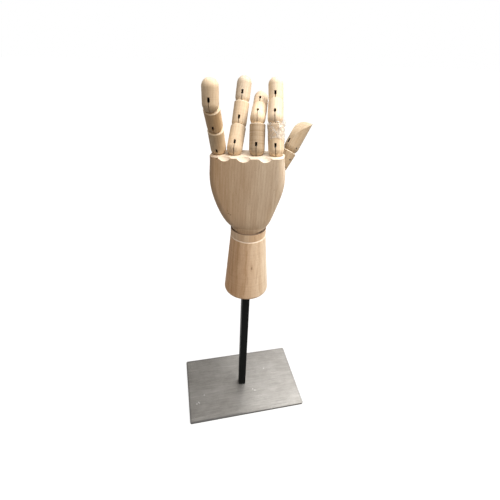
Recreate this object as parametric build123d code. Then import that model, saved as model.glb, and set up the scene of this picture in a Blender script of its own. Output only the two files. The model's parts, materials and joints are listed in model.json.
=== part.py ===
from build123d import *
import os
from math import radians, sqrt, tan
from typing import NamedTuple

# Articulated wooden hand on a square rod and a flat plate.
# Millimetres. The origin is the middle of the plate's underside, X runs along
# the plate's long side, Y points away from the viewer and Z is up.

# Stand
plate_length = 175.0
plate_width = 110.0
plate_thickness = 3.0
plate_corner = 2.5
plate_edge = 0.4
rod_side = 10.0
rod_length = 204.0
rod_edge = 0.6
screw_radius = 2.5
screw_head_radius = 5.0
screw_head_sink = 0.2
screw_head_land = 0.2
screw_length = 24.0
stud_radius = 2.5
stud_length = 34.0
stud_in_rod = 18.0

# Forearm and wrist
forearm_height = 81.0
forearm_bottom_radius = 27.8
forearm_top_radius = 20.5
forearm_bottom_round = 3.5
forearm_top_chamfer = 1.2
chamber_radius = 9.0
chamber_height = 56.0
plug_height = 18.0
disc_height = 10.0
disc_edge = 0.8
spigot_radius = 14.0
spigot_height = 8.0
spigot_end_gap = 0.3
eye_radius = 6.0
eye_thickness = 4.0
stem_radius = 2.5
stem_end = 12.0
wrist_pin_radius = 2.0
wrist_pin_length = 40.0
flat_washer_radius = 8.0
flat_washer_thickness = 1.5
spring_washer_radius = 7.0
spring_washer_thickness = 1.0
spring_washer_cone = 0.8
spring_washer_count = 4
nut_across_flats = 8.0
nut_height = 4.0
wrist_tilt = 30.0

# Palm
dome_radius = 25.0
dome_rim_radius = 18.8
waist_drop = 12.0
waist_inset = 0.6
waist_thickness = 33.0
waist_corner = 13.0
palm_height = 67.0
palm_top_width = 76.0
palm_top_thickness = 28.0
palm_top_corner = 7.0
palm_top_shift = -1.3
palm_top_edge = 0.8
palm_crown = 3.0
scoop_radius = 9.0
scoop_out = 2.5
scoop_up = 4.6
# Height above the waist, width, thickness, corner radius and sideways shift of each middle section
palm_sections = (
    (9.0, 54.5, 35.5, 13.0, -1.4),
    (24.0, 66.5, 35.5, 12.0, -2.0),
    (40.0, 76.0, 33.5, 10.0, -1.6),
    (58.0, 79.2, 31.0, 8.5, -1.2),
)

# Fingers: places along the palm, then their segments from the palm outwards
little_seat = -31.4
ring_seat = -15.3
middle_seat = 8.7
index_seat = 28.9
segment_lengths = (29.2, 25.7, 20.7)
segment_radii = (7.9, 7.7, 7.5)
rim_edge = 0.5
pad_start = 8.0
pad_lean = 2.0
seat_drop = 5.5
ball_clearance = 0.35

# Knuckle hardware
pin_radius = 1.0
pin_inset = 0.6
link_thickness = 0.5
link_width = 5.0
link_reach = 14.8
anchor_drop = 12.8
palm_link_drop = 12.5
palm_link_thickness = 1.2
palm_eye_radius = 2.3
palm_pin_front = 9.0
palm_pin_back = 6.0
kerf_width = 0.7
kerf_above_eye = 0.4
mortise_width = 2.2
mortise_height = 4.0
mortise_centre = 3.6
mortise_web = 2.0
running_clearance = 0.05
fit_clearance = 0.02
pocket_clearance = 0.8

# Thumb
thumb_ball_radius = 6.8
thumb_radius = 7.9
thumb_base_length = 22.0
thumb_tip_length = 29.0
thumb_pad_start = 4.0
thumb_pad_end = 5.5
thumb_tip_round = 1.6
thumb_seat_x = 33.6
thumb_seat_y = 13.0
thumb_seat_below_top = 15.0
thumb_lean = 28.0
thumb_tilt = 19.5
thumb_turn = -55.0
thumb_swing = (-10.0, 10.0)
thumb_notch_gap = 2.0
thumb_notch_flare = 15.0
thumb_notch_height = 60.0
thumb_pin_inner = 8.0
thumb_pin_outer = 9.0
thumb_pin_bore = 20.0

# Clear film wound round the index finger under its middle knuckle
film_start = 9.0
film_end_gap = 0.6
film_thickness = 0.25

# Pose in which the hand stands: its turn on the stand and the palm's lean to the little finger's side
hand_turn = -19.0
palm_lean = -2.65


class Finger(NamedTuple):
    """Seat, sideways lean and bends of one finger; a bend away from the viewer is positive."""
    name: str
    seat_x: float
    lean: float
    lean_travel: tuple
    bends: tuple


fingers = (
    Finger("little", little_seat, 2.0, (-2.0, 3.0), (-28.3, -6.9, 37.7)),
    Finger("ring", ring_seat, 5.6, (2.2, 6.0), (44.8, -14.4, -5.8)),
    Finger("middle", middle_seat, -0.9, (-1.2, 1.0), (24.1, 48.8, -5.5)),
    Finger("index", index_seat, -4.6, (-5.0, 1.5), (20.3, 34.1, -27.3)),
)

# Heights of the stack
rod_top = plate_thickness + rod_length
forearm_bottom = rod_top
forearm_top = forearm_bottom + forearm_height
disc_top = forearm_top + disc_height
wrist_z = disc_top + sqrt(dome_radius**2 - dome_rim_radius**2)
waist_z = wrist_z - waist_drop
palm_top = wrist_z + palm_height
chamber_top = forearm_bottom + chamber_height
knuckle_z = palm_top + seat_drop
waist_width = 2 * (sqrt(dome_radius**2 - waist_drop**2) - waist_inset)

hand = Location((0, 0, 0), (0, 0, hand_turn))
palm_place = hand * Pos(0, 0, wrist_z) * Rot(0, palm_lean, 0) * Pos(0, 0, -wrist_z)


def upright(radius, bottom, top):
    """Cylinder on the Z axis between two heights."""
    return Pos(0, 0, bottom) * Cylinder(radius, top - bottom, align=(Align.CENTER, Align.CENTER, Align.MIN))


def along_x(radius, start, end):
    return Pos(start, 0, 0) * Rot(0, 90, 0) * upright(radius, 0, end - start)


def along_y(radius, start, end):
    return Pos(0, start, 0) * Rot(-90, 0, 0) * upright(radius, 0, end - start)


def block(width, depth, bottom, top):
    """Box centred on the Z axis between two heights."""
    return Pos(0, 0, bottom) * Box(width, depth, top - bottom, align=(Align.CENTER, Align.CENTER, Align.MIN))


def turned(*edges):
    """Solid turned about Z from a closed outline drawn as radius and height."""
    return revolve(Plane.XZ * make_face(edges), Axis.Z)


def turned_points(points):
    return turned(*Polyline(*points, close=True).edges())


# Stand

def make_base_plate():
    plate = extrude(RectangleRounded(plate_length, plate_width, plate_corner), plate_thickness)
    plate = chamfer(plate.faces().sort_by(Axis.Z)[-1].edges(), plate_edge)
    return plate - make_screw_form(fit_clearance)


def make_screw_form(clearance):
    """Countersunk screw from under the plate; the clearance widens it into its hole."""
    head = screw_head_radius + clearance
    shank = screw_radius + clearance
    land_top = screw_head_sink + screw_head_land
    start = 0 if clearance else screw_head_sink
    return turned_points([
        (0, start),
        (head, start),
        (head, land_top),
        (shank, land_top + screw_head_radius - screw_radius),
        (shank, screw_length + clearance),
        (0, screw_length + clearance),
    ])


def make_stand_rod():
    rod = Pos(0, 0, plate_thickness) * extrude(Rectangle(rod_side, rod_side), rod_length)
    rod = chamfer(rod.edges().filter_by(Axis.Z), rod_edge)
    stud_hole = upright(stud_radius + fit_clearance, rod_top - stud_in_rod, rod_top)
    return rod - make_screw_form(fit_clearance) - stud_hole


def make_rod_stud():
    bottom = rod_top - stud_in_rod
    return upright(stud_radius, bottom, bottom + stud_length)


# Forearm and wrist

def make_forearm():
    outline = Polyline(
        (0, forearm_bottom),
        (forearm_bottom_radius, forearm_bottom),
        (forearm_top_radius, forearm_top),
        (0, forearm_top),
        close=True,
    )
    body = turned(*outline.edges())
    rims = body.edges().filter_by(GeomType.CIRCLE).sort_by(Axis.Z)
    body = fillet(rims[0], forearm_bottom_round)
    body = chamfer(body.edges().filter_by(GeomType.CIRCLE).sort_by(Axis.Z)[-1], forearm_top_chamfer)
    chamber = upright(chamber_radius, forearm_bottom, chamber_top)
    socket = upright(
        spigot_radius + running_clearance,
        forearm_top - spigot_height - spigot_end_gap,
        forearm_top,
    )
    bore = upright(stem_radius + running_clearance, chamber_top, forearm_top)
    return body - chamber - socket - bore


def make_forearm_plug():
    plug = upright(chamber_radius - fit_clearance, forearm_bottom, forearm_bottom + plug_height)
    return plug - upright(stud_radius + fit_clearance, forearm_bottom, rod_top - stud_in_rod + stud_length)


def make_wrist_disc():
    body = turned_points([
        (0, forearm_top - spigot_height),
        (spigot_radius, forearm_top - spigot_height),
        (spigot_radius, forearm_top),
        (forearm_top_radius - disc_edge, forearm_top),
        (forearm_top_radius, forearm_top + disc_edge),
        (forearm_top_radius, disc_top - disc_edge),
        (forearm_top_radius - disc_edge, disc_top),
        (0, disc_top),
    ])
    cup = Pos(0, 0, wrist_z) * Sphere(dome_radius + ball_clearance)
    bore = upright(stem_radius + fit_clearance, forearm_top - spigot_height, disc_top)
    return body - cup - bore


def stack_heights():
    """Heights of the flat washer's underside, the spring washers' underside and the nut's underside."""
    flat_bottom = chamber_top - flat_washer_thickness
    spring_bottom = flat_bottom - spring_washer_count * (spring_washer_thickness + spring_washer_cone)
    return flat_bottom, spring_bottom, spring_bottom - nut_height


def make_wrist_eyebolt():
    stem_bottom = stack_heights()[2] - stem_end
    eye = Pos(-eye_thickness / 2, 0, wrist_z) * along_x(eye_radius, 0, eye_thickness)
    bolt = eye + upright(stem_radius, stem_bottom, wrist_z)
    return bolt - Pos(0, 0, wrist_z) * along_x(wrist_pin_radius + running_clearance, -eye_radius, eye_radius)


def make_wrist_washer():
    bottom = stack_heights()[0]
    washer = upright(flat_washer_radius, bottom, chamber_top)
    return washer - upright(stem_radius + fit_clearance, bottom, chamber_top)


def make_wrist_spring_washers():
    """Coned washers, stacked face to face and back to back."""
    bottom = stack_heights()[1]
    pitch = spring_washer_thickness + spring_washer_cone
    inner = stem_radius + running_clearance
    washers = []
    for index in range(spring_washer_count):
        rise = (spring_washer_cone, 0) if index % 2 else (0, spring_washer_cone)
        base = bottom + index * pitch
        washers.append(turned_points([
            (inner, base + rise[0]),
            (spring_washer_radius, base + rise[1]),
            (spring_washer_radius, base + rise[1] + spring_washer_thickness),
            (inner, base + rise[0] + spring_washer_thickness),
        ]))
    return Compound(children=[washer.solid() for washer in washers])


def make_wrist_nut():
    bottom = stack_heights()[2]
    hexagon = RegularPolygon(nut_across_flats / 2, 6, major_radius=False)
    nut = Pos(0, 0, bottom) * extrude(hexagon, nut_height)
    return nut - upright(stem_radius + fit_clearance, bottom, bottom + nut_height)


def make_wrist_pin():
    half = wrist_pin_length / 2
    return Pos(0, 0, wrist_z) * along_x(wrist_pin_radius, -half, half)


# Knuckles

def knuckle_seat(ball_radius, drop, travel):
    """Cup for a ball that swings sideways about a pin along Y, drop below the ball's centre."""
    balls = [Rot(0, angle, 0) * Pos(0, 0, drop) * Sphere(ball_radius + ball_clearance) for angle in travel]
    return balls[0] + balls[1]


def link_pocket(drop, travel):
    """Mortise under a seat that leaves the palm link room to swing."""
    height = drop - seat_drop
    swing = height * tan(radians(max(abs(angle) for angle in travel)))
    depth = palm_eye_radius + pocket_clearance
    return block(2 * (depth + swing), link_width + 2 * pocket_clearance, -depth, height)


def palm_link(ball_radius, drop):
    """Steel link whose upper eye faces sideways and whose lower eye faces front to back."""
    crossing = ball_radius + ball_clearance
    upper = make_flat_link(crossing + palm_eye_radius)
    hole_radius = pin_radius + running_clearance
    lower = block(2 * palm_eye_radius, palm_link_thickness, -drop, -crossing)
    half = palm_link_thickness / 2
    lower += Pos(0, 0, -drop) * along_y(palm_eye_radius, -half, half)
    link = upper + lower
    link -= along_x(hole_radius, -link_width, link_width)
    return link - Pos(0, 0, -drop) * along_y(hole_radius, -link_width, link_width)


def make_flat_link(reach):
    """Flat strip with a round upper end, centred on its hinge pin."""
    half = link_thickness / 2
    return along_x(link_width / 2, -half, half) + block(link_thickness, link_width, -reach, 0)


def segment_link():
    link = make_flat_link(link_reach)
    link -= along_x(pin_radius + running_clearance, -link_width, link_width)
    return link - Pos(0, 0, -anchor_drop) * along_x(pin_radius + fit_clearance, -link_width, link_width)


def hinge_cuts(radius):
    """Saw kerf, blind mortises on the front and back, and pin hole at the ball end of a segment."""
    span = 2 * (radius + ball_clearance)
    cuts = block(kerf_width, span, -span, link_width / 2 + kerf_above_eye)
    mortise = block(
        mortise_width,
        radius,
        mortise_centre - mortise_height / 2,
        mortise_centre + mortise_height / 2,
    )
    for side in (-1, 1):
        cuts += Pos(0, side * (radius + mortise_web) / 2, 0) * mortise
    return cuts + along_x(pin_radius + fit_clearance, -span, span)


def cup_cuts(length, next_radius, width):
    """Cup, link slot and anchor pin hole at the outer end of a segment."""
    cup = Sphere(next_radius + ball_clearance)
    slot = block(
        link_thickness + 2 * fit_clearance,
        link_width + 2 * fit_clearance,
        -link_reach - fit_clearance,
        0,
    )
    anchor = Pos(0, 0, -anchor_drop) * along_x(pin_radius + fit_clearance, -width, width)
    return Pos(0, 0, length) * (cup + slot + anchor)


def ball_segment(ball_radius, rim_radius, length, next_radius):
    """Segment with a ball below and the next segment's cup above, hinged at the origin."""
    rim = length - seat_drop
    body = turned(
        CenterArc((0, 0), ball_radius, -90, 90),
        Line((ball_radius, 0), (rim_radius, rim - rim_edge)),
        Line((rim_radius, rim - rim_edge), (rim_radius - rim_edge, rim)),
        Line((rim_radius - rim_edge, rim), (0, rim)),
        Line((0, rim), (0, -ball_radius)),
    )
    return body - hinge_cuts(ball_radius) - cup_cuts(length, next_radius, 2 * rim_radius)


def finger_tip(radius, length):
    """Round-ended tip whose pad side curves towards the nail side."""
    body = turned(
        CenterArc((0, 0), radius, -90, 90),
        Line((radius, 0), (radius, length - radius)),
        CenterArc((0, length - radius), radius, 0, 90),
        Line((0, length), (0, -radius)),
    )
    pad = make_face([
        Line((-radius, -radius), (radius, -radius)),
        Line((radius, -radius), (radius, pad_start)),
        TangentArc((radius, pad_start), (-pad_lean, length), tangent=(0, 1)),
        Line((-pad_lean, length), (-radius, length)),
        Line((-radius, length), (-radius, -radius)),
    ])
    body &= extrude(Plane.YZ * pad, radius, both=True)
    return body - hinge_cuts(radius)


def pins(radius, rim_radius, length):
    """Hinge pin of a segment and the anchor pin of the link that it carries."""
    hinge = radius - pin_inset
    anchor = rim_radius - pin_inset
    hinge_pin = along_x(pin_radius, -hinge, hinge)
    anchor_pin = Pos(0, 0, length - anchor_drop) * along_x(pin_radius, -anchor, anchor)
    return hinge_pin + anchor_pin


def tip_pin(radius):
    half = radius - pin_inset
    return along_x(pin_radius, -half, half)


# Fingers

def palm_pin_place(finger):
    """Frame of the pin on which a finger leans sideways."""
    return palm_place * Pos(finger.seat_x, 0, knuckle_z - palm_link_drop)


def finger_places(finger):
    """Frames of the palm link and the three segments in the standing pose."""
    place = palm_pin_place(finger) * Rot(0, finger.lean, 0) * Pos(0, 0, palm_link_drop)
    places = [place]
    for bend, length in zip(finger.bends, (0.0,) + segment_lengths):
        place = place * Pos(0, 0, length) * Rot(-bend, 0, 0)
        places.append(place)
    return places


def make_finger(finger):
    """Nodes of one finger by name."""
    link_place, lower_place, middle_place, tip_place = finger_places(finger)
    nodes = {}
    nodes["palm_link"] = link_place * palm_link(segment_radii[0], palm_link_drop)
    for number, (part_name, place) in enumerate((("lower", lower_place), ("middle", middle_place))):
        radius = segment_radii[number]
        length = segment_lengths[number]
        segment = ball_segment(radius, radius, length, segment_radii[number + 1])
        nodes[f"finger_{part_name}"] = place * segment
        nodes[f"{part_name}_pins"] = place * pins(radius, radius, length)
        nodes[f"{part_name}_link"] = place * Pos(0, 0, length) * segment_link()
    nodes["finger_tip"] = tip_place * finger_tip(segment_radii[2], segment_lengths[2])
    nodes["tip_pin"] = tip_place * tip_pin(segment_radii[2])
    return {f"{finger.name}_{name}": node for name, node in nodes.items()}


def make_index_film():
    """Sleeve of film round the index finger's lower segment."""
    inner = segment_radii[0] + fit_clearance
    end = segment_lengths[0] - seat_drop - rim_edge - film_end_gap
    sleeve = upright(inner + film_thickness, film_start, end) - upright(inner, film_start, end)
    return finger_places(fingers[3])[1] * sleeve


# Thumb

def thumb_places():
    """Frames of the thumb's palm pin, base and tip in the standing pose."""
    seat = Pos(thumb_seat_x, thumb_seat_y, palm_top - thumb_seat_below_top)
    base = palm_place * seat * Rot(0, thumb_lean, 0) * Rot(-thumb_tilt, 0, 0) * Rot(0, 0, thumb_turn)
    return base * Pos(0, 0, -palm_link_drop), base, base * Pos(0, 0, thumb_base_length)


def thumb_tip():
    """Tip with a straight nail side and a pad side that sweeps across to the point."""
    radius = thumb_radius
    length = thumb_tip_length
    body = turned(
        CenterArc((0, 0), radius, -90, 90),
        Line((radius, 0), (radius, length)),
        Line((radius, length), (0, length)),
        Line((0, length), (0, -radius)),
    )
    pad = make_face([
        Line((radius, -radius), (-radius, -radius)),
        Line((-radius, -radius), (-radius, thumb_pad_start)),
        TangentArc((-radius, thumb_pad_start), (thumb_pad_end, length), tangent=(0, 1)),
        Line((thumb_pad_end, length), (radius, length - thumb_tip_round)),
        Line((radius, length - thumb_tip_round), (radius, -radius)),
    ])
    body &= extrude(Plane.YZ * pad, radius, both=True)
    return body - hinge_cuts(radius)


def make_thumb():
    pin_place, base_place, tip_place = thumb_places()
    base = ball_segment(thumb_ball_radius, thumb_radius, thumb_base_length, thumb_radius)
    return {
        "thumb_palm_link": base_place * palm_link(thumb_ball_radius, palm_link_drop),
        "thumb_base": base_place * base,
        "thumb_base_pins": base_place * pins(thumb_ball_radius, thumb_radius, thumb_base_length),
        "thumb_base_link": tip_place * segment_link(),
        "thumb_tip": tip_place * thumb_tip(),
        "thumb_tip_pin": tip_place * tip_pin(thumb_radius),
    }


# Palm

def palm_section(width, thickness, corner):
    """Rounded cross-section whose front and back are crowned."""
    half = width / 2
    side = thickness / 2 - palm_crown
    outline = make_face([
        ThreePointArc((-half, -side), (0, -thickness / 2), (half, -side)),
        Line((half, -side), (half, side)),
        ThreePointArc((half, side), (0, thickness / 2), (-half, side)),
        Line((-half, side), (-half, -side)),
    ])
    return fillet(outline.vertices(), corner)


def palm_body():
    waist = Pos(0, 0, waist_z) * palm_section(waist_width, waist_thickness, waist_corner)
    top = palm_section(palm_top_width, palm_top_thickness, palm_top_corner)
    sections = [waist]
    for height, width, thickness, corner, shift in palm_sections:
        sections.append(Pos(shift, 0, waist_z + height) * palm_section(width, thickness, corner))
    body = loft(sections + [Pos(palm_top_shift, 0, palm_top) * top])
    body = chamfer(body.faces().sort_by(Axis.Z)[-1].edges(), palm_top_edge)
    heel = extrude(waist, -dome_radius) & Pos(0, 0, wrist_z) * Sphere(dome_radius)
    return body + heel


def wrist_slot():
    """Fan-shaped slot that lets the palm tilt about the eyebolt."""
    width = eye_thickness + 2 * pocket_clearance
    round_end = along_x(eye_radius + pocket_clearance, -width / 2, width / 2)
    half = stem_radius + pocket_clearance
    stem = block(width, 2 * half, -2 * dome_radius, 0)
    fan = round_end + stem
    for angle in (-wrist_tilt, -wrist_tilt / 2, wrist_tilt / 2, wrist_tilt):
        fan += Rot(angle, 0, 0) * stem
    half_angle = wrist_tilt
    reach = dome_radius + ball_clearance
    wedge = make_face(Polyline(
        (0, 0),
        Vector(0, -reach).rotate(Axis.Z, half_angle),
        (0, -2 * reach),
        Vector(0, -reach).rotate(Axis.Z, -half_angle),
        close=True,
    ))
    fan += extrude(Plane.YZ * wedge, width / 2, both=True)
    return Pos(0, 0, wrist_z) * fan


def gap_scoops():
    """Scoops in the front top edge between neighbouring fingers."""
    scoops = Part()
    for left, right in zip(fingers, fingers[1:]):
        middle = (left.seat_x + right.seat_x) / 2
        front = -palm_top_thickness / 2 - scoop_out
        scoops += Pos(middle, front, palm_top + scoop_up) * Sphere(scoop_radius)
    return scoops


def thumb_notch():
    """Flared notch that opens the palm's back corner above the thumb's seat."""
    floor_radius = thumb_radius + thumb_notch_gap
    notch = Cone(
        floor_radius,
        floor_radius + thumb_notch_height * tan(radians(thumb_notch_flare)),
        thumb_notch_height,
        align=(Align.CENTER, Align.CENTER, Align.MIN),
    )
    return Pos(0, 0, palm_link_drop - seat_drop) * notch


def make_palm():
    palm = palm_place * (palm_body() - gap_scoops()) - hand * wrist_slot()
    hole_radius = pin_radius + fit_clearance
    for finger in fingers:
        place = palm_pin_place(finger)
        cut = knuckle_seat(segment_radii[0], palm_link_drop, finger.lean_travel)
        cut += link_pocket(palm_link_drop, finger.lean_travel)
        cut += along_y(hole_radius, -palm_pin_front - fit_clearance, waist_thickness)
        palm -= place * cut
    pin_place = thumb_places()[0]
    cut = knuckle_seat(thumb_ball_radius, palm_link_drop, thumb_swing)
    cut += link_pocket(palm_link_drop, thumb_swing)
    cut += thumb_notch()
    cut += along_y(hole_radius, -thumb_pin_inner, thumb_pin_bore)
    palm -= pin_place * cut
    pin_hole = Pos(0, 0, wrist_z) * along_x(wrist_pin_radius + fit_clearance, -palm_top_width, palm_top_width)
    return palm - hand * pin_hole


def make_palm_pins():
    group = thumb_places()[0] * along_y(pin_radius, -thumb_pin_inner, thumb_pin_outer)
    for finger in fingers:
        group += palm_pin_place(finger) * along_y(pin_radius, -palm_pin_front, palm_pin_back)
    return group


def make_nodes():
    nodes = {
        "base_plate": make_base_plate(),
        "plate_screw": make_screw_form(0),
        "stand_rod": make_stand_rod(),
        "rod_stud": make_rod_stud(),
        "forearm": make_forearm(),
        "forearm_plug": make_forearm_plug(),
        "wrist_disc": make_wrist_disc(),
        "wrist_eyebolt": hand * make_wrist_eyebolt(),
        "wrist_washer": make_wrist_washer(),
        "wrist_spring_washers": make_wrist_spring_washers(),
        "wrist_nut": make_wrist_nut(),
        "wrist_pin": hand * make_wrist_pin(),
        "palm": make_palm(),
        "palm_pins": make_palm_pins(),
    }
    for finger in fingers:
        nodes.update(make_finger(finger))
    nodes.update(make_thumb())
    nodes["index_film"] = make_index_film()
    return nodes


nodes = make_nodes()
os.makedirs("parts", exist_ok=True)
for name, node in nodes.items():
    export_step(node, f"parts/{name}.step")
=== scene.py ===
import json
import math

import bmesh
import bpy
from mathutils import Matrix, Quaternion, Vector, noise


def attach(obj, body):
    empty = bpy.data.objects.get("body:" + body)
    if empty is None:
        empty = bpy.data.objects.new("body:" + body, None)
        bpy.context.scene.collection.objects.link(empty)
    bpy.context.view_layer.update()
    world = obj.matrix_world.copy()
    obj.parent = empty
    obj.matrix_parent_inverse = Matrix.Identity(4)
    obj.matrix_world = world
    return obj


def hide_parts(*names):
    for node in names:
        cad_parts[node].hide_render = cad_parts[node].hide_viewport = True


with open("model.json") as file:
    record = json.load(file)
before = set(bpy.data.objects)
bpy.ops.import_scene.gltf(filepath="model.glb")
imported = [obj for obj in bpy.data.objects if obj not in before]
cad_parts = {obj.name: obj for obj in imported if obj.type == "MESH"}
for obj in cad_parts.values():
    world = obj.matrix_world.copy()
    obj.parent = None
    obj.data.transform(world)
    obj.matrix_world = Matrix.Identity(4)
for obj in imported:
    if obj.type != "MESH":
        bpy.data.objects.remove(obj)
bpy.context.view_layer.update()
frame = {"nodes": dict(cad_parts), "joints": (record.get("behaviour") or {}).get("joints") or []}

MM = 1000.0
WHITE = (1.0, 1.0, 1.0)
UPRIGHT = Matrix.Identity(4)
FINGERS = ("little", "ring", "middle", "index")
# Levels that most of a noise lies between, and its middle
NOISE_RANGE = (0.3, 0.7)
NOISE_MIDDLE = 0.5

nodes = frame["nodes"]
joints = {joint["name"]: joint for joint in frame["joints"]}


# Node helpers

class Tree:
    """The node tree of a material or a world, with a short call for each kind of node in use."""

    def __init__(self, owner):
        owner.use_nodes = True
        self.owner = owner
        self.tree = owner.node_tree
        self.tree.nodes.clear()

    def add(self, kind, inputs=None, **settings):
        """A node with its settings and with what each of its inputs is fed."""
        node = self.tree.nodes.new(kind)
        for key, value in settings.items():
            setattr(node, key, value)
        for key, value in (inputs or {}).items():
            self.feed(value, node.inputs[key])
        return node

    def feed(self, value, target):
        """A number, a colour or another node's socket goes to an input."""
        if isinstance(value, bpy.types.NodeSocket):
            self.tree.links.new(value, target)
        else:
            target.default_value = value

    def mapped(self, frame_matrix):
        """Object coordinates in millimetres, turned into a piece's own frame."""
        turn = frame_matrix.to_3x3().transposed()
        return self.add("ShaderNodeMapping", {
            "Vector": self.add("ShaderNodeTexCoord").outputs["Object"],
            "Scale": (MM, MM, MM),
            "Rotation": turn.to_euler("XYZ"),
            "Location": -(turn @ frame_matrix.translation) * MM,
        }).outputs["Vector"]

    def stretched(self, vector, stretch=(1.0, 1.0, 1.0), shift=(0.0, 0.0, 0.0)):
        inputs = {"Vector": vector, "Scale": stretch, "Location": shift}
        return self.add("ShaderNodeMapping", inputs).outputs["Vector"]

    def turned(self, vector, place, turn):
        """Coordinates about another point, turned by angles in degrees."""
        angles = [math.radians(a) for a in turn]
        inputs = {"Vector": vector, "Location": place, "Rotation": angles}
        return self.add("ShaderNodeMapping", inputs, vector_type="TEXTURE").outputs["Vector"]

    def length(self, vector):
        return self.add("ShaderNodeVectorMath", {0: vector}, operation="LENGTH").outputs["Value"]

    def far(self, vector, place, reach):
        """Distance from a point, where each axis counts in units of its own reach."""
        about = self.turned(vector, place, (0.0, 0.0, 0.0))
        return self.length(self.stretched(about, [1.0 / r for r in reach]))

    def axes(self, vector):
        return tuple(self.add("ShaderNodeSeparateXYZ", {"Vector": vector}).outputs)

    def noise(self, vector, detail, rough, scale=1.0, distortion=0.0, output="Fac"):
        return self.add("ShaderNodeTexNoise", {
            "Vector": vector,
            "Scale": scale,
            "Detail": detail,
            "Roughness": rough,
            "Distortion": distortion,
        }).outputs[output]

    def voronoi(self, vector, scale, feature, output):
        inputs = {"Vector": vector, "Scale": scale}
        return self.add("ShaderNodeTexVoronoi", inputs, feature=feature).outputs[output]

    def ramp(self, value, *stops):
        """Colours or grey levels at given levels of a value."""
        node = self.add("ShaderNodeValToRGB", {"Fac": value})
        elements = node.color_ramp.elements
        while len(elements) < len(stops):
            elements.new(0.5)
        for element, (position, colour) in zip(elements, stops):
            element.position = position
            element.color = (*colour, 1.0) if hasattr(colour, "__len__") else (*[colour] * 3, 1.0)
        return node.outputs["Color"]

    def span(self, value, low, high, to_low, to_high):
        """A value taken from one range to another and held at the ends."""
        return self.add("ShaderNodeMapRange", {
            "Value": value,
            "From Min": low,
            "From Max": high,
            "To Min": to_low,
            "To Max": to_high,
        }).outputs["Result"]

    def below(self, value, limit, blur):
        """One where a value is under a limit, falling to nought over the blur."""
        return self.span(value, limit - blur, limit + blur, 1.0, 0.0)

    def math(self, operation, a, b=0.0):
        return self.add("ShaderNodeMath", {0: a, 1: b}, operation=operation).outputs[0]

    def mix(self, blend, factor, a, b):
        node = self.add("ShaderNodeMix", {"Factor": factor}, data_type="RGBA", blend_type=blend)
        for name, value in (("A", a), ("B", b)):
            socket = next(s for s in node.inputs if s.name == name and s.type == "RGBA")
            self.feed(value if isinstance(value, bpy.types.NodeSocket) else (*value, 1.0), socket)
        return next(s for s in node.outputs if s.type == "RGBA")

    def darken(self, colour, depth, value, low, tone, high):
        """Colour with a tone over it where a value is low, gone where the value is high."""
        return self.mix("MULTIPLY", depth, colour, self.ramp(value, (low, tone), (high, WHITE)))

    def bump(self, height, distance, strength):
        """Normals bent by a height, over a distance in millimetres."""
        inputs = {"Height": height, "Distance": distance / MM, "Strength": strength}
        return self.add("ShaderNodeBump", inputs).outputs["Normal"]


class Surface(Tree):
    """A material with one Principled shader."""

    def __init__(self, name):
        super().__init__(bpy.data.materials.new(name))
        self.shader = self.add("ShaderNodeBsdfPrincipled")
        self.add("ShaderNodeOutputMaterial", {"Surface": self.shader.outputs[0]})

    def material(self, **inputs):
        """The material, with the shader's inputs fed; _ stands for a space in a name."""
        for name, value in inputs.items():
            self.feed(value, self.shader.inputs[name.replace("_", " ")])
        return self.owner


def paint(node_name, material):
    mesh = nodes[node_name].data
    mesh.materials.clear()
    mesh.materials.append(material)


def place_object(name, data):
    item = bpy.data.objects.new(name, data)
    bpy.context.scene.collection.objects.link(item)
    return item


# Wood

# Blind mortise beside each hinge pin, in millimetres in its segment's own frame; its inside gets
# painted shade
MORTISE_HALF_WIDTH = 1.25
MORTISE_CENTRE = 3.6
MORTISE_HALF_HEIGHT = 2.1
MORTISE_LIP = 0.45
MORTISE_BLUR = 0.05
MORTISE_LIP_BLUR = 0.35
# Painted shade: the inside of each blind mortise is painted nearly black
MORTISE_SHADE_COLOUR = (0.025, 0.015, 0.009)
# Radius of each segment at its mortise, in millimetres
SEGMENT_RADII = {"lower": 7.9, "middle": 7.7, "tip": 7.5}
THUMB_RADII = {"base": 7.4, "tip": 7.9}

# Figure of the wood: noise cycles for each millimetre across and along the grain, then the
# noise's detail, roughness and distortion
BROAD = (0.10, 0.008, 2.0, 0.5, 0.4)
STREAK = (0.55, 0.018, 4.0, 0.6, 0.2)
FIBRE = (4.5, 0.12, 3.0, 0.6, 0.0)
DASH = (3.2, 0.42, 1.0, 0.4, 0.0)
GROOVE = (0.01, 0.85, 2.0, 0.5, 0.0)
RING_SWAY = (0.05, 0.011, 2.0, 0.5, 0.0)
RING_RIPPLE = (0.5, 0.05, 2.0, 0.5, 0.0)
# Tone of the figure: the noise level where it is whole, the tone, the level where it is gone
STREAK_TONE = (0.32, (0.84, 0.79, 0.73), 0.62)
FIBRE_TONE = (0.30, (0.84, 0.80, 0.75), 0.65)
DASH_TONE = (0.26, (0.66, 0.57, 0.48), 0.34)
GROOVE_TONE = (0.36, (0.74, 0.67, 0.59), 0.52)
STREAK_DEPTH = 0.7
FIBRE_DEPTH = 0.8
# Noise levels where the wood is at its darkest and at its palest
BROAD_DARK = 0.30
BROAD_PALE = 0.70
# Step of the figure from one seed to the next, in millimetres
SEED_STEP = (37.0, 19.0, 53.0)

# How far the growth rings wander, in millimetres
RING_SWAY_DEPTH = 4.5
RING_RIPPLE_DEPTH = 1.4
# Tone through one growth ring
RING_TONES = (
    (0.0, WHITE),
    (0.50, (0.97, 0.955, 0.94)),
    (0.86, (0.80, 0.73, 0.65)),
    (1.0, (0.98, 0.97, 0.96)),
)
# Rings round a knot: reach along each axis and push at its middle in millimetres, and how many
# reaches out the push ends
KNOT_REACH = (3.4, 3.4, 8.5)
KNOT_PUSH = 3.0
KNOT_END = 2.0

# How far streaks shift the edge of painted light and shade, as a share of its span
LIGHT_AND_SHADE_SWAY = 0.3
# Small dark marks: where they start to fade and where they end, in units of their reach
SPOT_FADE = (0.5, 1.1)
SPOT_COLOUR = (0.16, 0.075, 0.035)
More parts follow.
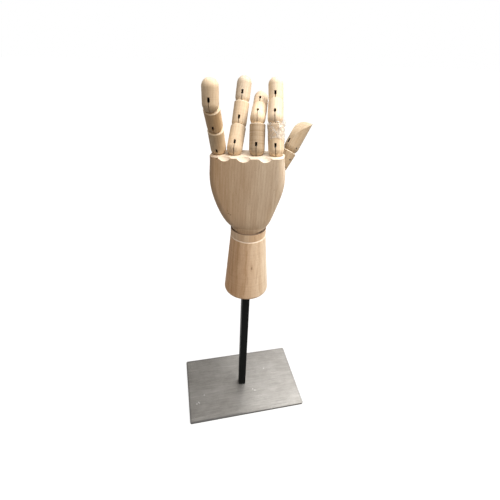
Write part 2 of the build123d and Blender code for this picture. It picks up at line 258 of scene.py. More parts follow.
# Rise of the surface's normal where the painted highlight on upward faces starts and where it is
# whole; upward faces take the lamps from above, and on the wrist disc they get painted shade
# instead
UPWARD_PAINT_RISE = (0.30, 0.65)
UPWARD_HIGHLIGHT_COLOUR = (0.95, 0.86, 0.74)
# Pale upper rim of a cup, a painted highlight where the rim takes the light, with some edge wear:
# where it starts and is whole, in millimetres under the rim
RIM_START = 1.0
RIM_WHOLE = 0.5
RIM_DEPTH = 0.55
RIM_HIGHLIGHT_COLOUR = (0.93, 0.85, 0.70)

WOOD_ROUGHNESS = (0.55, 0.69)
WOOD_IOR = 1.46
WOOD_SPECULAR = 0.38
FIBRE_HEIGHT = 0.6
DASH_HEIGHT = 0.5
# Bump: depth in millimetres and strength
WOOD_BUMP = (0.06, 0.55)


def figure(tree, place, across, along, detail, rough, distortion):
    """Noise drawn out along the grain, which runs along Z."""
    stretch = (across, across, along)
    return tree.noise(tree.stretched(place, stretch), detail, rough, distortion=distortion)


def mortise_mask(tree, place, radius):
    """One inside the blind mortises of a segment, where their painted shade goes, nought on its
    outside.
    """
    x, y, z = tree.axes(place)
    width = tree.below(tree.math("ABSOLUTE", x), MORTISE_HALF_WIDTH, MORTISE_BLUR)
    rise = tree.math("ABSOLUTE", tree.math("SUBTRACT", z, MORTISE_CENTRE))
    height = tree.below(rise, MORTISE_HALF_HEIGHT, MORTISE_BLUR)
    squares = tree.math("ADD", tree.math("MULTIPLY", x, x), tree.math("MULTIPLY", y, y))
    depth = tree.below(tree.math("SQRT", squares), radius - MORTISE_LIP, MORTISE_LIP_BLUR)
    return tree.math("MULTIPLY", tree.math("MULTIPLY", width, height), depth)


def ring_phase(tree, place, pith, lean, spacing, knot):
    """Place within a growth ring, from nought to one, about a pith line that leans."""
    about = tree.turned(place, (*pith, 0.0), (*lean, 0.0))
    out = tree.length(tree.stretched(about, (1.0, 1.0, 0.0)))
    for layer, depth in ((RING_SWAY, RING_SWAY_DEPTH), (RING_RIPPLE, RING_RIPPLE_DEPTH)):
        out = tree.math("ADD", out, tree.math("MULTIPLY", figure(tree, place, *layer), depth))
    if knot is not None:
        push = tree.span(tree.far(place, knot, KNOT_REACH), 0.0, KNOT_END, KNOT_PUSH, 0.0)
        out = tree.math("ADD", out, push)
    return tree.math("FRACT", tree.math("DIVIDE", out, spacing))


def wood(
    name, frame_matrix, pale, dark, seed,
    fleck=0.5, pith=(90.0, 30.0), lean=(1.5, 1.0), spacing=2.6, ring_depth=0.55, knot=None,
    spots=(), light_and_shade=(), lathe=0.0, upward_paint=0.0, upward_paint_colour=UPWARD_HIGHLIGHT_COLOUR,
    rim=None, mortise_radius=None,
):
    """Straight-grained wood along the frame's Z axis, with growth rings, flecks and marks, and
    painted light and shade where asked.
    """
    tree = Surface(name)
    place = tree.mapped(frame_matrix)
    axes = tree.axes(place)
    base = tree.stretched(place, shift=[seed * step for step in SEED_STEP])
    streak = figure(tree, base, *STREAK)
    fibre = figure(tree, base, *FIBRE)
    dash = figure(tree, base, *DASH)
    broad = figure(tree, base, *BROAD)
    colour = tree.ramp(broad, (BROAD_DARK, dark), (BROAD_PALE, pale))
    # Painted light and shade: slow changes of tone through the blank
    for axis, low, high, low_tone, high_tone in light_and_shade:
        sway = tree.math("MULTIPLY", tree.math("SUBTRACT", streak, NOISE_MIDDLE), LIGHT_AND_SHADE_SWAY)
        share = tree.math("ADD", tree.span(axes[axis], low, high, 0.0, 1.0), sway)
        tones = tree.ramp(share, (0.0, low_tone), (1.0, high_tone))
        colour = tree.mix("MULTIPLY", 1.0, colour, tones)
    ring = ring_phase(tree, place, pith, lean, spacing, knot)
    colour = tree.mix("MULTIPLY", ring_depth, colour, tree.ramp(ring, *RING_TONES))
    colour = tree.darken(colour, STREAK_DEPTH, streak, *STREAK_TONE)
    colour = tree.darken(colour, FIBRE_DEPTH, fibre, *FIBRE_TONE)
    colour = tree.darken(colour, fleck, dash, *DASH_TONE)
    fibre_height = tree.math("MULTIPLY", fibre, FIBRE_HEIGHT)
    height = tree.math("ADD", fibre_height, tree.math("MULTIPLY", dash, DASH_HEIGHT))
    if lathe > 0.0:
        groove = figure(tree, base, *GROOVE)
        colour = tree.darken(colour, lathe, groove, *GROOVE_TONE)
        height = tree.math("ADD", height, tree.math("MULTIPLY", groove, lathe))
    for spot, reach, depth in spots:
        mark = tree.span(tree.far(place, spot, reach), *SPOT_FADE, depth, 0.0)
        colour = tree.mix("MIX", mark, colour, SPOT_COLOUR)
    # Painted highlight on upward faces, where the lamps above fall; on the wrist disc, painted
    # shade
    if upward_paint > 0.0:
        _, _, rise = tree.axes(tree.add("ShaderNodeTexCoord").outputs["Normal"])
        upward_mask = tree.span(rise, *UPWARD_PAINT_RISE, 0.0, upward_paint)
        colour = tree.mix("MIX", upward_mask, colour, upward_paint_colour)
    # Painted highlight, with some edge wear, along a cup's upper rim
    if rim is not None:
        edge = tree.span(axes[2], rim - RIM_START, rim - RIM_WHOLE, 0.0, RIM_DEPTH)
        colour = tree.mix("MIX", edge, colour, RIM_HIGHLIGHT_COLOUR)
    # Painted shade inside the blind mortises
    if mortise_radius is not None:
        mask = mortise_mask(tree, place, mortise_radius)
        colour = tree.mix("MIX", mask, colour, MORTISE_SHADE_COLOUR)
    return tree.material(
        Base_Color=colour,
        Roughness=tree.span(streak, *NOISE_RANGE, *WOOD_ROUGHNESS),
        Normal=tree.bump(height, *WOOD_BUMP),
        IOR=WOOD_IOR,
        Specular_IOR_Level=WOOD_SPECULAR,
    )


def axis_frame(origin, direction, side):
    """Frame at a point with Z along a direction and X along a side vector."""
    z = direction.normalized()
    y = z.cross(side).normalized()
    x = y.cross(z)
    turn = Matrix((x, y, z)).transposed().to_4x4()
    return Matrix.Translation(origin) @ turn


def joint_place(name):
    joint = joints[name]
    return Vector(joint["pos_m"]), Vector(joint["axis"])


def rest_bend(name):
    """Bend in the standing pose, as the joint bends equally far both ways from straight."""
    low, high = joints[name]["range_deg"]
    return -(low + high) / 2


def finger_frames(finger):
    """Frames of a finger's three segments, read from its joints."""
    knuckle, side = joint_place(f"{finger}_knuckle_bend")
    middle, _ = joint_place(f"{finger}_middle_bend")
    tip, tip_axis = joint_place(f"{finger}_tip_bend")
    upper = (tip - middle).normalized()
    tip_way = Quaternion(tip_axis, math.radians(rest_bend(f"{finger}_tip_bend"))) @ upper
    return (
        axis_frame(knuckle, middle - knuckle, -side),
        axis_frame(middle, upper, -side),
        axis_frame(tip, tip_way, -side),
    )


FINGER_PALE = (0.82, 0.70, 0.53)
FINGER_DARK = (0.74, 0.605, 0.435)
PALM_PALE = (0.77, 0.645, 0.490)
PALM_DARK = (0.68, 0.540, 0.390)
FOREARM_PALE = (0.88, 0.72, 0.540)
FOREARM_DARK = (0.79, 0.605, 0.425)
# Painted shade: the wrist disc's upward faces, its chamfer in the seam under the palm and its
# bowl, are painted nearly black
DISC_UPWARD_SHADE_COLOUR = (0.11, 0.066, 0.038)

# Tint of each piece where it isn't plain: partly its own blank's tone, and partly painted light
# and shade, each piece lighter, darker or whiter by how the light falls on it
BLANK_AND_LIGHT_TINTS = {
    "little_finger_lower": (1.08, 1.08, 1.06),
    "little_finger_middle": (1.00, 0.90, 0.76),
    "ring_finger_lower": (0.95, 0.95, 0.95),
    "ring_finger_tip": (0.99, 1.02, 1.09),
    "middle_finger_lower": (0.71, 0.69, 0.67),
    "middle_finger_middle": (1.10, 1.10, 1.10),
    "middle_finger_tip": (1.08, 1.09, 1.13),
    "index_finger_lower": (1.14, 1.14, 1.14),
    "index_finger_middle": (1.06, 1.08, 1.13),
    "index_finger_tip": (1.19, 1.24, 1.31),
    "wrist_disc": (1.13, 1.16, 1.20),
    "forearm": (1.03, 1.04, 1.04),
    "thumb_base": (0.78, 0.76, 0.73),
    "thumb_tip": (0.80, 0.80, 0.79),
}
# Depth of the turning marks left by the lathe
LATHE = 0.22
ROUGH_LATHE = {"middle_finger_lower": 0.62}
# Growth rings of the finger and thumb segments: spacing in millimetres and depth, then where the
# pith lies, in millimetres, and how far it moves from seed to seed
SEGMENT_SPACING = 2.3
SEGMENT_RING_DEPTH = 0.35
PITH_FIRST = 40.0
PITH_STEP = 7.0
PITH_SWING = 15.0
# Height of each hinge over the rim of its cup, in millimetres
SEAT_DROP = 5.5

# Small marks in the wood: place and reach along each axis in millimetres, and depth
PALM_SPOTS = (
    ((-35.8, -0.8, 378.2), (0.7, 0.7, 0.8), 0.8),
    ((-13.2, -11.2, 377.4), (0.7, 0.7, 0.8), 0.8),
    ((-24.9, -9.3, 320.5), (1.3, 1.0, 0.8), 0.55),
    ((-22.8, -10.2, 319.2), (0.9, 0.9, 0.8), 0.7),
    ((-25.8, -8.9, 323.4), (0.7, 0.9, 0.7), 0.55),
)
FOREARM_KNOT = (0.7, -23.6, 253.6)
FOREARM_SPOTS = (
    (FOREARM_KNOT, (1.1, 1.1, 3.0), 0.42),
    (FOREARM_KNOT, (0.6, 0.6, 1.4), 0.4),
)
# Painted light and shade, as slow changes of tone through a blank: axis, from and to in
# millimetres, tint at each end
PALM_LIGHT_AND_SHADE = (
    # Painted light: the palm's right side paler and whiter where the window light and its sheen
    # fall, its left side darker
    (0, -40.0, 38.0, (0.86, 0.77, 0.68), (1.14, 1.25, 1.40)),
    # Painted light: the palm lighter towards its heel, against the shade that falls there
    (2, 308.0, 335.0, (1.12, 1.12, 1.12), WHITE),
    # Painted shade: a darker band low on the heel, by its seam with the wrist disc
    (2, 300.5, 303.5, (0.80, 0.77, 0.74), WHITE),
)
FOREARM_LIGHT_AND_SHADE = (
    # Painted light: the forearm's right side paler and whiter where the window light falls, its
    # left side darker
    (0, -26.0, 22.0, (0.97, 0.81, 0.66), (1.07, 1.19, 1.34)),
)


def toned(node_name, colour):
    return [tint * c for tint, c in zip(BLANK_AND_LIGHT_TINTS.get(node_name, WHITE), colour)]


def segment_wood(node_name, segment_frame, seed, radius, rim):
    return wood(
        f"wood_{node_name}",
        segment_frame,
        toned(node_name, FINGER_PALE),
        toned(node_name, FINGER_DARK),
        seed,
        pith=(PITH_FIRST + PITH_STEP * seed, PITH_SWING * math.sin(seed)),
        spacing=SEGMENT_SPACING,
        ring_depth=SEGMENT_RING_DEPTH,
        lathe=ROUGH_LATHE.get(node_name, LATHE),
        rim=rim,
        mortise_radius=radius,
    )


def cup_rim(hinge, next_hinge):
    """Height of a segment's upper rim over its hinge, in millimetres."""
    return (next_hinge - hinge).length * MM - SEAT_DROP


seed = 0
for finger in FINGERS:
    frames = finger_frames(finger)
    hinges = [segment.translation for segment in frames]
    rims = (cup_rim(hinges[0], hinges[1]), cup_rim(hinges[1], hinges[2]), None)
    for piece, segment, rim in zip(("lower", "middle", "tip"), frames, rims):
        seed += 1
        node_name = f"{finger}_finger_{piece}"
        paint(node_name, segment_wood(node_name, segment, seed, SEGMENT_RADII[piece], rim))

thumb_base, thumb_side = joint_place("thumb_knuckle_bend")
thumb_tip, _ = joint_place("thumb_tip_bend")
for piece, origin, seed, rim in (
    ("base", thumb_base, 21, cup_rim(thumb_base, thumb_tip)),
    ("tip", thumb_tip, 22, None),
):
    node_name = f"thumb_{piece}"
    segment = axis_frame(origin, thumb_tip - thumb_base, -thumb_side)
    paint(node_name, segment_wood(node_name, segment, seed, THUMB_RADII[piece], rim))

paint("palm", wood(
    "wood_palm",
    UPRIGHT,
    PALM_PALE,
    PALM_DARK,
    seed=31,
    fleck=0.65,
    pith=(-150.0, 60.0),
    spacing=2.9,
    ring_depth=0.35,
    spots=PALM_SPOTS,
    light_and_shade=PALM_LIGHT_AND_SHADE,
    # Painted highlight on the palm's upward faces, its top and the scoops between the fingers
    upward_paint=0.5,
))
paint("forearm", wood(
    "wood_forearm",
    UPRIGHT,
    toned("forearm", FOREARM_PALE),
    toned("forearm", FOREARM_DARK),
    seed=41,
    pith=(-10.0, 30.0),
    lean=(-4.5, 1.5),
    spacing=3.8,
    ring_depth=0.85,
    knot=FOREARM_KNOT,
    spots=FOREARM_SPOTS,
    light_and_shade=FOREARM_LIGHT_AND_SHADE,
    lathe=LATHE,
    # Painted highlight on the forearm's upward faces, such as its top chamfer
    upward_paint=0.9,
))
paint("wrist_disc", wood(
    "wood_disc",
    UPRIGHT,
    toned("wrist_disc", FOREARM_PALE),
    toned("wrist_disc", FOREARM_DARK),
    seed=43,
    pith=(-9.0, 20.0),
    spacing=3.4,
    lathe=LATHE,
    # Painted shade on the disc's upward faces, in its seam under the palm
    upward_paint=0.95,
    upward_paint_colour=DISC_UPWARD_SHADE_COLOUR,
))
paint("forearm_plug", wood("wood_plug", UPRIGHT, FOREARM_PALE, FOREARM_DARK, seed=44))


# Metal

# Plate, in millimetres
PLATE_HALF = (87.5, 55.0)
PLATE_TOP = 3.0
PLATE_WALL_DEPTH = 0.5
PLATE_WALL_BLUR = 0.1
# Brushed lines and broad patches: noise cycles for each millimetre along each axis
LINE_STRETCH = (0.030, 3.6, 3.6)
PATCH_STRETCH = (0.022, 0.034, 1.0)
BLOTCH_SCALE = 0.11
SPECK_SCALE = 0.75
LINE_TONES = ((0.33, (0.175, 0.168, 0.157)), (0.67, (0.37, 0.356, 0.333)))
PATCH_TONE = (0.35, (0.80, 0.79, 0.78), 0.65)
PATCH_DEPTH = 0.8
BLOTCH_TONE = (0.30, (0.86, 0.85, 0.85), 0.60)
BLOTCH_DEPTH = 0.6
# Dark border: width and blur in millimetres, then from and to along X and its depth at each
BORDER_WIDTH = 1.9
BORDER_BLUR = 1.3
BORDER_SPAN = (-60.0, 50.0, 0.75, 0.18)
BORDER_COLOUR = (0.10, 0.098, 0.095)
# Painted shade: the plate's side walls painted near black, as their shade and dark reflection
WALL_SHADE_COLOUR = (0.085, 0.083, 0.080)
# Fine pale specks: noise levels and depths
SPECK_STOPS = ((0.800, 0.0), (0.825, 0.7))
SPECK_COLOUR = (0.85, 0.84, 0.82)
# Larger specks of dust: reach along each axis in millimetres, fade, depth, and their places
DUST_REACH = (0.9, 0.7, 1.0)
DUST_FADE = (0.5, 1.0)
DUST_DEPTH = 0.75
DUST_COLOUR = (0.95, 0.94, 0.92)
DUST_PLACES = (
    (-75.5, -26.5),
    (-73.0, -24.0),
    (-71.5, -25.5),
    (-63.0, -13.5),
    (18.0, -19.7),
    (15.0, -17.0),
    (42.0, 18.0),
)
PLATE_ROUGHNESS = (0.25, 0.75, 0.32, 0.46)
PLATE_BUMP = (0.03, 0.5)
PLATE_ANISOTROPY = 0.6

ROD_GRAIN_SCALE = 1.6
ROD_CLOUD_STRETCH = (0.2, 0.2, 0.03)
ROD_DARK = (0.003, 0.004, 0.004)
ROD_PALE = (0.007, 0.009, 0.009)
ROD_ROUGHNESS = (0.42, 0.55)
ROD_BUMP = (0.04, 0.35)
ROD_SPECULAR = 0.05

# Plain steel: tone and roughness, and what its grain does to them
PIN_STEEL = ((0.13, 0.115, 0.10), 0.42)
FASTENER_STEEL = ((0.56, 0.55, 0.53), 0.30)
STEEL_GRAIN_SCALE = 2.2
STEEL_DARK = 0.82
STEEL_ROUGHER = 0.15
STEEL_BUMP = (0.02, 0.3)
FASTENERS = (
    "plate_screw",
    "rod_stud",
    "wrist_eyebolt",
    "wrist_washer",
    "wrist_spring_washers",
    "wrist_nut",
)


def brushed_plate():
    tree = Surface("plate_brushed")
    base = tree.mapped(UPRIGHT)
    x, y, z = tree.axes(base)
    line = tree.noise(tree.stretched(base, LINE_STRETCH), detail=5.0, rough=0.72)
    patch = tree.noise(tree.stretched(base, PATCH_STRETCH), detail=3.0, rough=0.55)
    blotch = tree.noise(base, detail=3.0, rough=0.6, scale=BLOTCH_SCALE)
    speck = tree.noise(base, detail=1.0, rough=0.3, scale=SPECK_SCALE)
    colour = tree.ramp(line, *LINE_TONES)
    colour = tree.darken(colour, PATCH_DEPTH, patch, *PATCH_TONE)
    colour = tree.darken(colour, BLOTCH_DEPTH, blotch, *BLOTCH_TONE)
    inset_x, inset_y = (
        tree.math("SUBTRACT", half, tree.math("ABSOLUTE", axis))
        for half, axis in zip(PLATE_HALF, (x, y))
    )
    border = tree.below(tree.math("MINIMUM", inset_x, inset_y), BORDER_WIDTH, BORDER_BLUR)
    border = tree.math("MULTIPLY", border, tree.span(x, *BORDER_SPAN))
    colour = tree.mix("MIX", border, colour, BORDER_COLOUR)
    colour = tree.mix("MIX", tree.ramp(speck, *SPECK_STOPS), colour, SPECK_COLOUR)
    for place in DUST_PLACES:
        away = tree.far(base, (*place, PLATE_TOP), DUST_REACH)
        colour = tree.mix("MIX", tree.span(away, *DUST_FADE, DUST_DEPTH, 0.0), colour, DUST_COLOUR)
    # Painted shade on the plate's side walls
    wall = tree.below(z, PLATE_TOP - PLATE_WALL_DEPTH, PLATE_WALL_BLUR)
    colour = tree.mix("MIX", wall, colour, WALL_SHADE_COLOUR)
    return tree.material(
        Base_Color=colour,
        Roughness=tree.span(line, *PLATE_ROUGHNESS),
        Normal=tree.bump(line, *PLATE_BUMP),
        Tangent=tree.add("ShaderNodeTangent", direction_type="RADIAL", axis="X").outputs[0],
        Metallic=1.0,
        Anisotropic=PLATE_ANISOTROPY,
    )


def painted_rod():
    tree = Surface("rod_black")
    base = tree.mapped(UPRIGHT)
    grain = tree.noise(base, detail=3.0, rough=0.6, scale=ROD_GRAIN_SCALE)
    cloud = tree.noise(tree.stretched(base, ROD_CLOUD_STRETCH), detail=3.0, rough=0.6)
    return tree.material(
        Base_Color=tree.ramp(cloud, *zip(NOISE_RANGE, (ROD_DARK, ROD_PALE))),
        Roughness=tree.span(cloud, *NOISE_RANGE, *ROD_ROUGHNESS),
        Normal=tree.bump(grain, *ROD_BUMP),
        Specular_IOR_Level=ROD_SPECULAR,
    )


def plain_steel(name, tone, rough):
    tree = Surface(name)
    grain = tree.noise(tree.mapped(UPRIGHT), detail=3.0, rough=0.6, scale=STEEL_GRAIN_SCALE)
    dark = [STEEL_DARK * t for t in tone]
    return tree.material(
        Base_Color=tree.ramp(grain, *zip(NOISE_RANGE, (dark, tone))),
        Roughness=tree.span(grain, *NOISE_RANGE, rough, rough + STEEL_ROUGHER),
        Normal=tree.bump(grain, *STEEL_BUMP),
        Metallic=1.0,
    )


paint("base_plate", brushed_plate())
paint("stand_rod", painted_rod())
pin_steel = plain_steel("pin_steel", *PIN_STEEL)
fastener_steel = plain_steel("fastener_steel", *FASTENER_STEEL)
for name in nodes:
    if name.endswith(("_pin", "_pins", "_link")):
        paint(name, pin_steel)
for name in FASTENERS:
    paint(name, fastener_steel)


# Clear film round the index finger

FILM_TURNS = 132
FILM_ROWS = 40

# Shape of the film, in millimetres in the segment's own frame: radius inside, thickness, lower
# edge and its rise at the front, upper edge and its rise on the right
FILM_INNER = 8.02
FILM_SKIN = 0.09
FILM_LOW = 5.2
FILM_LOW_RISE = 5.2
FILM_HIGH = 24.9
FILM_HIGH_RISE = 2.6
# Share of its rise that the lower edge falls by at the back
FILM_BACK_FALL = 0.2
# Waves of the edges: reach and level of each noise, and its depth at the lower and upper edge
EDGE_WAVES = (
    (1.9, 4.0, 0.6, 0.3),
    (6.0, 9.0, 0.0, 1.2),
)
# Folds: reach round the finger, shift of the noise and its cycles for each millimetre of height
FILM_AROUND = 1.5
BULGE = (1.0, (0.0, 0.0), 0.11)
FOLD = (1.6, (7.0, 3.0), 0.13)
CRINKLE = (3.2, (1.0, 8.0), 0.26)
LUMP = (2.2, (5.0, 1.0), 0.30)
FOLD_SHARPNESS = 3.2
CRINKLE_SHARPNESS = 2.6
# How far the folds stand out: all of them in millimetres, each kind's part, the part that is
# there at the foot and the part that grows to the top, the mean and the swing from side to side
FILM_LIFT = 1.9
BULGE_LIFT = 0.5
FOLD_LIFT = 0.5
CRINKLE_LIFT = 0.22
LOOSE_FOOT = 0.35
LOOSE_TOP = 0.65
LOOSE_CURVE = 1.5
SIDE_MEAN = 0.8
SIDE_SWING = 0.5
# Slack at the top, in millimetres: on the right, and in lumps all round and more on the right
RIGHT_SLACK = 0.8
LUMP_SLACK = 0.5
RIGHT_LUMP_SLACK = 1.7

# Look of the film: creases for each millimetre roughly, their slant round the finger in degrees
# and their stretch, and a noise that bends them, by millimetres along each axis
FILM_CREASE = 0.18
FILM_SLANT = 38.0
FILM_STRETCH = (1.25, 1.0, 0.6)
FILM_SWAY_SCALE = 0.22
FILM_SWAY = (5.0, 5.0, 5.0)
FILM_CLOUD_SCALE = 0.30
# Painted highlight colour on the creases and the palest facets
FILM_HIGHLIGHT = (1.0, 0.975, 0.93)
# Tone and opacity of the facets between creases; the tones are painted shade on the darkest facets
# and painted highlight on the palest
FACET_SHADE_AND_HIGHLIGHT = ((0.0, (0.42, 0.34, 0.27)), (0.40, (0.84, 0.79, 0.71)), (1.0, FILM_HIGHLIGHT))
FACET_ALPHAS = ((0.0, 0.09), (0.45, 0.17), (0.75, 0.30), (1.0, 0.45))
# Painted highlights, white lines along the creases: from and to, off a crease and by the cloud,
# with the strength at each
HIGHLIGHT_OFF_CREASE = (0.02, 0.075, 1.0, 0.0)
HIGHLIGHT_BY_CLOUD = (0.40, 0.58, 0.15, 1.0)
HIGHLIGHT_ALPHA = 0.88
FILM_ROUGHNESS = (0.08, 0.18)
FILM_BUMP = (0.9, 0.6)
FILM_IOR = 1.5
FILM_SPECULAR = 0.9


def film_edges(angle):
    """Heights of the film's lower and upper edge at an angle from its front."""
    low = FILM_LOW + FILM_LOW_RISE * max(math.cos(angle), -FILM_BACK_FALL)
    high = FILM_HIGH + FILM_HIGH_RISE * max(math.sin(angle), 0.0) ** 3
    for reach, level, low_depth, high_depth in EDGE_WAVES:
        place = Vector((reach * math.cos(angle), reach * math.sin(angle), level))
        wave = noise.noise(place)
        low += low_depth * wave
        high += high_depth * wave
    return low, high


def film_noise(around, height, reach, shift, rate):
    return noise.noise(around * reach + Vector((*shift, height * rate)))


def film_radius(angle, height, share):
    """Radius of the crumpled film, whose folds stand out most near its top and on its right."""
    around = Vector((math.cos(angle), math.sin(angle), 0.0)) * FILM_AROUND
    bulge = max(film_noise(around, height, *BULGE), 0.0)
    fold = max(1.0 - abs(film_noise(around, height, *FOLD)) * FOLD_SHARPNESS, 0.0)
    crinkle = max(1.0 - abs(film_noise(around, height, *CRINKLE)) * CRINKLE_SHARPNESS, 0.0)
    lump = max(film_noise(around, height, *LUMP), 0.0)
    right = max(math.sin(angle), 0.0)
    loose = LOOSE_FOOT + LOOSE_TOP * share**LOOSE_CURVE
    side = SIDE_MEAN + SIDE_SWING * math.sin(angle)
    lift = BULGE_LIFT * bulge + FOLD_LIFT * fold**2 + CRINKLE_LIFT * crinkle**2
    slack = (RIGHT_SLACK * right + (LUMP_SLACK + RIGHT_LUMP_SLACK * right) * lump) * share
    return FILM_INNER + slack + loose * side * lift * FILM_LIFT


def clear_film():
    """Clear crumpled sheet, nearly open between its creases, with painted highlights along them
    and painted shade and highlight on its facets.
    """
    tree = Surface("clear_film")
    base = tree.mapped(UPRIGHT)
    sway = tree.noise(base, detail=2.0, rough=0.5, scale=FILM_SWAY_SCALE, output="Color")
    sway = tree.stretched(sway, FILM_SWAY)
    bent = tree.add("ShaderNodeVectorMath", {0: base, 1: sway}, operation="ADD").outputs[0]
    slanted = tree.turned(bent, (0.0, 0.0, 0.0), (0.0, FILM_SLANT, 0.0))
    net = tree.stretched(slanted, FILM_STRETCH)
    crease = tree.voronoi(net, FILM_CREASE, "DISTANCE_TO_EDGE", "Distance")
    facet = tree.voronoi(net, FILM_CREASE, "F1", "Color")
    shares = tree.add("ShaderNodeSeparateColor", {0: facet}).outputs
    cloud = tree.noise(base, detail=3.0, rough=0.6, scale=FILM_CLOUD_SCALE)
    # Painted highlights along the creases
    off_crease = tree.span(crease, *HIGHLIGHT_OFF_CREASE)
    line = tree.math("MULTIPLY", off_crease, tree.span(cloud, *HIGHLIGHT_BY_CLOUD))
    # Painted shade and highlight on the facets
    tone = tree.ramp(shares[1], *FACET_SHADE_AND_HIGHLIGHT)
    alpha = tree.ramp(shares[0], *FACET_ALPHAS)
    return tree.material(
        Base_Color=tree.mix("MIX", line, tone, FILM_HIGHLIGHT),
        Roughness=tree.span(cloud, *NOISE_RANGE, *FILM_ROUGHNESS),
        Alpha=tree.math("MAXIMUM", alpha, tree.math("MULTIPLY", line, HIGHLIGHT_ALPHA)),
        Normal=tree.bump(crease, *FILM_BUMP),
        IOR=FILM_IOR,
        Specular_IOR_Level=FILM_SPECULAR,
    )


def make_film(segment):
    form = bmesh.new()
    rows = []
    for row in range(FILM_ROWS + 1):
        share = row / FILM_ROWS
        ring = []
        for step in range(FILM_TURNS):
            angle = 2 * math.pi * step / FILM_TURNS
            low, high = film_edges(angle)
            height = low + (high - low) * share
            radius = film_radius(angle, height, share)
            local = Vector((radius * math.sin(angle), -radius * math.cos(angle), height)) / MM
            ring.append(form.verts.new(segment @ local))
        rows.append(ring)
    for under, over in zip(rows, rows[1:]):
        for step in range(FILM_TURNS):
            after = (step + 1) % FILM_TURNS
            form.faces.new((under[step], under[after], over[after], over[step]))
    mesh = bpy.data.meshes.new("index_clear_film")
    form.to_mesh(mesh)
    form.free()
    mesh.shade_smooth()
    mesh.materials.append(clear_film())
    film = place_object("index_clear_film", mesh)
    skin = film.modifiers.new("skin", "SOLIDIFY")
    skin.thickness = FILM_SKIN / MM
    skin.offset = 1.0
    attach(film, "index_lower")
    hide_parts("index_film")


make_film(finger_frames("index")[0])


# Stage, in metres

FLOOR_HALF = 6.0
FLOOR_COLOUR = (0.16, 0.16, 0.16)
# Glow of the floor under the object, and from and to where it rises to white
FLOOR_GLOW = 0.86
GLOW_FROM = 0.12
GLOW_TO = 0.60
# Colour and strength of the room as light, as seen in gloss and as seen by the camera
ROOM_LIGHT = ((1.0, 0.64, 0.35), 0.18)
ROOM_GLOSS = ((1.0, 0.97, 0.93), 0.45)
ROOM_SEEN = (WHITE, 1.0)
# Lamps on a dome about the hand: angle above the floor and bearing from +X in degrees, size,
# power in watts and colour
HAND = Vector((0.0, 0.0, 0.25))
LAMP_REACH = 1.4
LAMPS = {
    "window": (60, -12, 1.1, 22.5, WHITE),
    "roof_window": (80, 0, 0.9, 5.0, WHITE),
    "fill": (60, -120, 0.9, 7.0, WHITE),
    "warm_fill": (30, -45, 0.9, 6.0, (1.0, 0.78, 0.54)),
    "far_window": (50, 45, 1.0, 4.6, WHITE),
}


def floor_white():
    """Pale floor, white to the camera and in gloss, with a soft shadow near the object."""
    tree = Tree(bpy.data.materials.new("floor_white"))
    matt = tree.add("ShaderNodeBsdfDiffuse", {"Color": (*FLOOR_COLOUR, 1.0)}).outputs[0]
    path = tree.add("ShaderNodeLightPath").outputs
    seen = tree.math("MAXIMUM", path["Is Camera Ray"], path["Is Glossy Ray"])
    seen = tree.math("MAXIMUM", seen, path["Is Transmission Ray"])
    away = tree.length(tree.add("ShaderNodeTexCoord").outputs["Object"])
    level = tree.math("MULTIPLY", seen, tree.span(away, GLOW_FROM, GLOW_TO, FLOOR_GLOW, 1.0))
    glow = tree.add("ShaderNodeEmission", {"Strength": level}).outputs[0]
    both = tree.add("ShaderNodeAddShader", {0: matt, 1: glow}).outputs[0]
    tree.add("ShaderNodeOutputMaterial", {"Surface": both})
    return tree.owner


def make_floor():
    mesh = bpy.data.meshes.new("floor")
    form = bmesh.new()
    bmesh.ops.create_grid(form, x_segments=1, y_segments=1, size=FLOOR_HALF)
    form.to_mesh(mesh)
    form.free()
    mesh.materials.append(floor_white())
    floor = place_object("floor", mesh)


def make_world():
    """Warm room light that is paler in gloss and white to the camera."""
    tree = Tree(bpy.data.worlds.new("studio"))
    lit, gloss, seen = (
        tree.add("ShaderNodeBackground", {"Color": (*colour, 1.0), "Strength": level}).outputs[0]
        for colour, level in (ROOM_LIGHT, ROOM_GLOSS, ROOM_SEEN)
    )
    path = tree.add("ShaderNodeLightPath").outputs
    shiny = tree.math("MAXIMUM", path["Is Glossy Ray"], path["Is Transmission Ray"])
    room = tree.add("ShaderNodeMixShader", {0: shiny, 1: lit, 2: gloss}).outputs[0]
    room = tree.add("ShaderNodeMixShader", {0: path["Is Camera Ray"], 1: room, 2: seen}).outputs[0]
    tree.add("ShaderNodeOutputWorld", {"Surface": room})
    bpy.context.scene.world = tree.owner


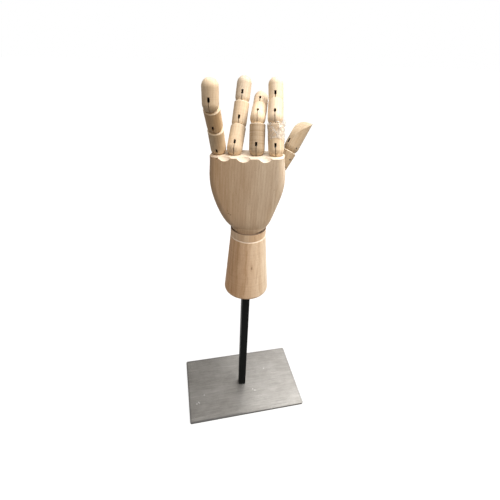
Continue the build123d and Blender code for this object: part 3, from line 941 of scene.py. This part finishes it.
def make_lamp(name, rise, bearing, size, power, colour):
    data = bpy.data.lights.new(name, "AREA")
    data.shape = "DISK"
    data.size = size
    data.energy = power
    data.color = colour
    rise, bearing = math.radians(rise), math.radians(bearing)
    flat = LAMP_REACH * math.cos(rise)
    place = Vector((
        flat * math.cos(bearing),
        flat * math.sin(bearing),
        HAND.z + LAMP_REACH * math.sin(rise),
    ))
    lamp = place_object(name, data)
    lamp.location = place
    lamp.rotation_euler = (HAND - place).to_track_quat("-Z", "Y").to_euler()


make_floor()
make_world()
for name, row in LAMPS.items():
    make_lamp(name, *row)


# Camera

# Focal length in pixels on a picture of 500 pixels
FOCAL_PIXELS = 330.0
PICTURE_PIXELS = 500.0
SENSOR_MM = 36.0
# Angles in degrees, and the distance along the ground and the height in metres
CAMERA_PITCH = 33.70
CAMERA_ROLL = 2.77
CAMERA_YAW = 0.544
CAMERA_DISTANCE = 0.3336
CAMERA_HEIGHT = 0.4869
CLIP_START = 0.01
# Turn of the plate in the picture, in degrees
PLATE_YAW = 13.03


def make_camera():
    angles = (CAMERA_PITCH, CAMERA_ROLL, CAMERA_YAW, PLATE_YAW)
    pitch, roll, yaw, turn = (math.radians(a) for a in angles)
    flat = math.cos(pitch)
    forward = Vector((math.sin(yaw) * flat, math.cos(yaw) * flat, -math.sin(pitch)))
    level = Vector((math.cos(yaw), -math.sin(yaw), 0.0))
    above = level.cross(forward)
    right = math.cos(roll) * level + math.sin(roll) * above
    up = math.cos(roll) * above - math.sin(roll) * level
    to_plate = Matrix.Rotation(-turn, 3, "Z")
    axes = Matrix((to_plate @ right, to_plate @ up, to_plate @ -forward)).transposed()
    place = to_plate @ Vector((0.0, -CAMERA_DISTANCE, CAMERA_HEIGHT))
    data = bpy.data.cameras.new("camera")
    data.sensor_width = SENSOR_MM
    data.lens = SENSOR_MM * FOCAL_PIXELS / PICTURE_PIXELS
    data.clip_start = CLIP_START
    camera = place_object("camera", data)
    camera.matrix_world = Matrix.Translation(place) @ axes.to_4x4()
    bpy.context.scene.camera = camera


make_camera()
bpy.context.scene.view_settings.view_transform = "Standard"
